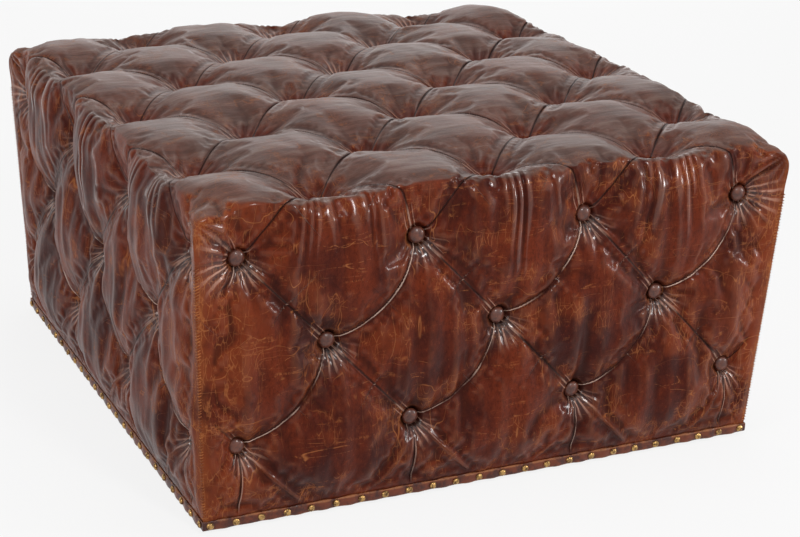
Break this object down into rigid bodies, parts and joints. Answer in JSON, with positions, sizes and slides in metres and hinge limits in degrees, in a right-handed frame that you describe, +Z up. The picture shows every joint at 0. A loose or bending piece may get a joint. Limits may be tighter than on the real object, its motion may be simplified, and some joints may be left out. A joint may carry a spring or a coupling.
{
  "type": "footstool",
  "caption": "Square block footstool with a diamond-tufted, deep-buttoned leather cover over a timber frame and a nailed band round the foot.",
  "frame": {"origin": "on the floor, under the middle of the footstool", "axes": "+Z up, front towards -Y, +X to the right seen from the front; all four sides are alike"},
  "size_m": [0.8478, 0.8478, 0.4519],
  "materials": {
    "leather": "satin",
    "trim_leather": "satin",
    "button_leather": "satin",
    "foam": "matte",
    "frame_wood": "matte",
    "plywood": "matte",
    "brass": "satin",
    "steel": "satin",
    "twine": "matte",
    "thread": "matte",
    "dust_cloth": "matte",
    "toggle_plastic": "matte",
    "glide_plastic": "satin"
  },
  "bodies": {
    "root": {"base_strip_back": "frame_wood", "base_strip_front": "frame_wood", "base_strip_left": "frame_wood", "base_strip_right": "frame_wood", "bottom_rail_back": "frame_wood", "bottom_rail_front": "frame_wood", "bottom_rail_left": "frame_wood", "bottom_rail_right": "frame_wood", "brass_nails_back": "brass", "brass_nails_front": "brass", "brass_nails_left": "brass", "brass_nails_right": "brass", "buttons_back": "button_leather", "buttons_front": "button_leather", "buttons_left": "button_leather", "buttons_right": "button_leather", "buttons_top": "button_leather", "corner_braces": "frame_wood", "corner_post_back_left": "frame_wood", "corner_post_back_right": "frame_wood", "corner_post_front_left": "frame_wood", "corner_post_front_right": "frame_wood", "corner_stitching_back_left": "thread", "corner_stitching_back_right": "thread", "corner_stitching_front_left": "thread", "corner_stitching_front_right": "thread", "deck_bearers": "frame_wood", "deck_board": "plywood", "deck_screws": "steel", "dust_cover": "dust_cloth", "dust_cover_staples": "steel", "foam_back": "foam", "foam_front": "foam", "foam_left": "foam", "foam_right": "foam", "foam_top": "foam", "frame_screws": "steel", "glide_nails": "steel", "glides": "glide_plastic", "leather_back": "leather", "leather_front": "leather", "leather_left": "leather", "leather_right": "leather", "leather_top": "leather", "side_board_back": "plywood", "side_board_front": "plywood", "side_board_left": "plywood", "side_board_right": "plywood", "top_rail_back": "frame_wood", "top_rail_front": "frame_wood", "top_rail_left": "frame_wood", "top_rail_right": "frame_wood", "trim_band_back": "trim_leather", "trim_band_front": "trim_leather", "trim_band_left": "trim_leather", "trim_band_right": "trim_leather", "tufting_twine_sides": "twine", "tufting_twine_top": "twine", "twine_toggles_sides": "toggle_plastic", "twine_toggles_top": "toggle_plastic"}
  },
  "joints": []
}
